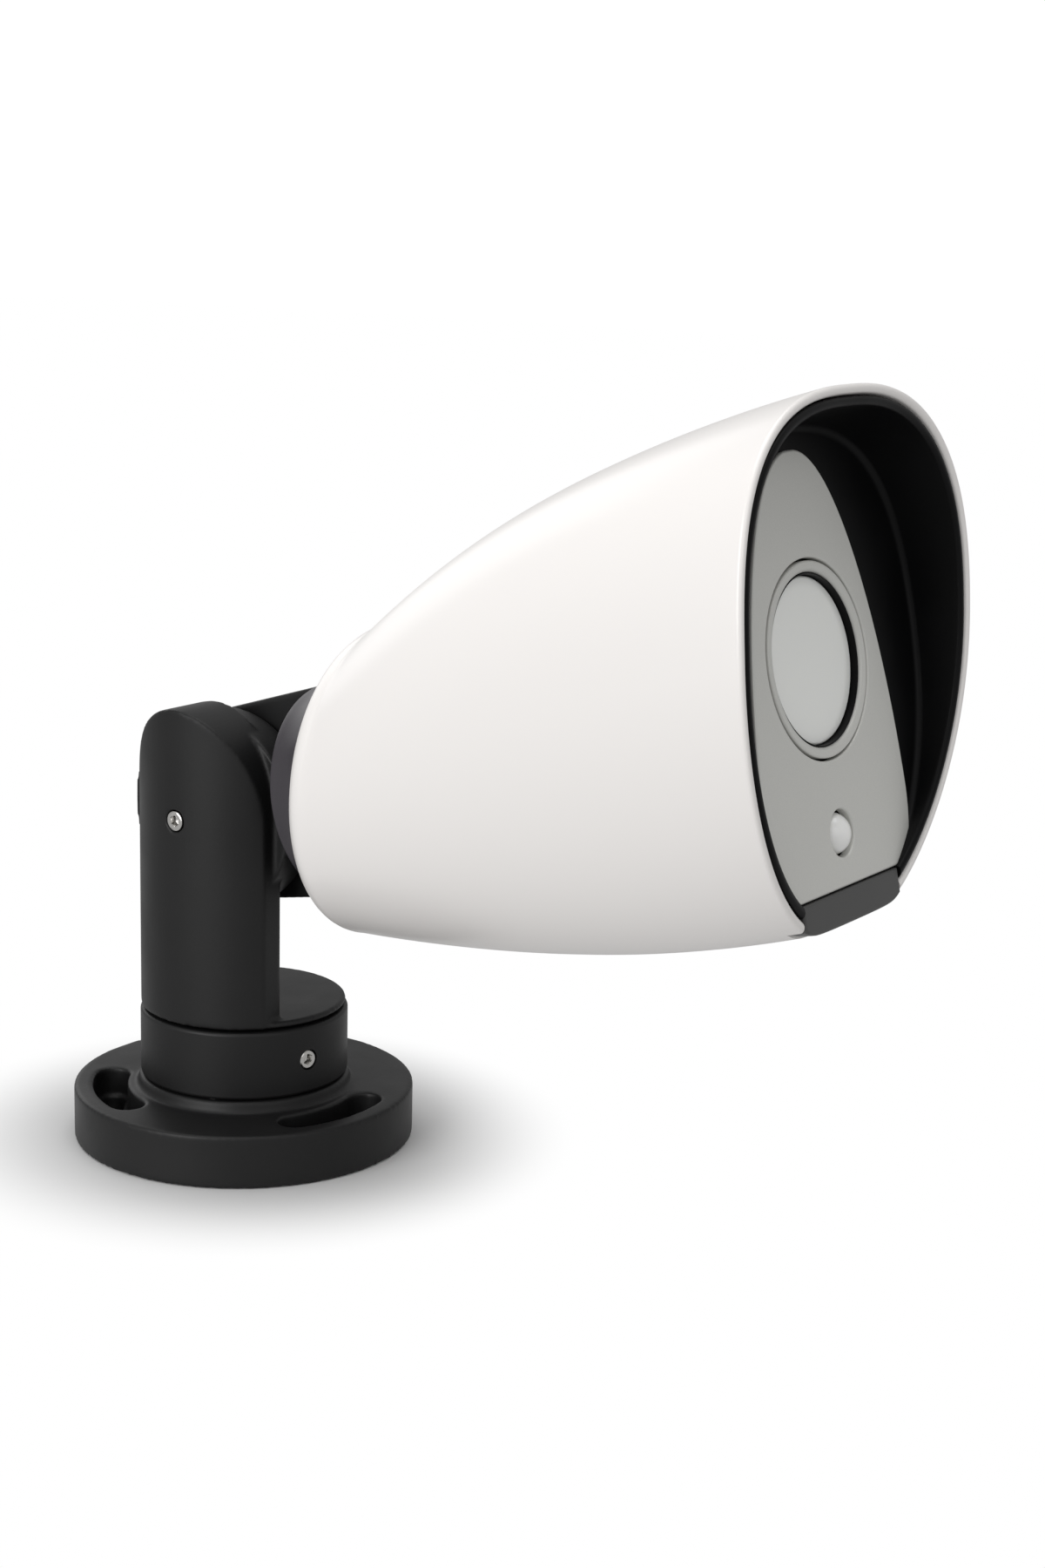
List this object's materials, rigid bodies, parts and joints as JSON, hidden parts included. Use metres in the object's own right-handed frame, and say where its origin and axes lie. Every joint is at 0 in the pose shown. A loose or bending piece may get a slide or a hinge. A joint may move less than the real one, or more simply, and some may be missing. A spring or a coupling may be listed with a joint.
{
  "type": "security camera",
  "caption": "Bullet-style outdoor camera with a flared hood over a grey face panel, on a round-flanged bracket that turns and tilts.",
  "frame": {"origin": "centre of the mounting flange's underside, on the pan axis", "axes": "+Z points away from the mounting surface along the pan axis, -Y is the way the camera looks, X is the tilt axis"},
  "size_m": [0.1076, 0.2244, 0.2082],
  "materials": {
    "cast_black": "black powder coat, fine orange-peel texture, satin",
    "cap_black": "moulded dark grey, satin",
    "shell_white": "warm white lacquer, satin to semi-gloss",
    "hood_black": "moulded black, satin",
    "panel_grey": "warm grey with a fine metallic sheen",
    "window_pale": "pale translucent, lightly frosted",
    "steel": "machined, bright",
    "rubber": "moulded, matt",
    "board": "green circuit board",
    "glass": "clear, coated"
  },
  "bodies": {
    "base": {"base_flange": "cast_black", "base_collar": "cast_black", "base_gasket": "rubber", "cable_grommet": "rubber", "collar_screw_1": "steel", "collar_screw_2": "steel", "collar_screw_3": "steel", "pan_lock_screw": "steel"},
    "arm": {"bracket_arm": "cast_black", "tilt_lock_screw": "steel", "retaining_clip": "steel"},
    "head": {"knuckle": "cast_black", "friction_washer": "rubber", "window_gasket": "rubber", "housing_seal": "rubber", "tilt_pivot": "steel", "knuckle_screw_1": "steel", "knuckle_screw_2": "steel", "housing_screw_1": "steel", "housing_screw_2": "steel", "housing_screw_3": "steel", "housing_screw_4": "steel", "chassis_plate": "steel", "pivot_cover": "cap_black", "rear_cap": "cap_black", "outer_shell": "shell_white", "hood_liner": "hood_black", "front_bezel": "hood_black", "inner_housing": "hood_black", "lens_mount": "hood_black", "lens_barrel": "hood_black", "face_panel": "panel_grey", "window_ring": "panel_grey", "window_disc": "window_pale", "sensor_dome": "window_pale", "sensor_board": "board", "main_board": "board", "lamp_board": "board", "dome_board": "board", "image_sensor": "glass", "lens_glass": "glass"}
  },
  "joints": [
    {"name": "pan", "type": "hinge", "parent": "base", "child": "arm", "pos_m": [0, 0, 0.0352], "axis": [0, 0, 1], "range_deg": [-170, 170]},
    {"name": "tilt", "type": "hinge", "parent": "arm", "child": "head", "pos_m": [0, 0, 0.0896], "axis": [-1, 0, 0], "range_deg": [-25, 78]}
  ]
}
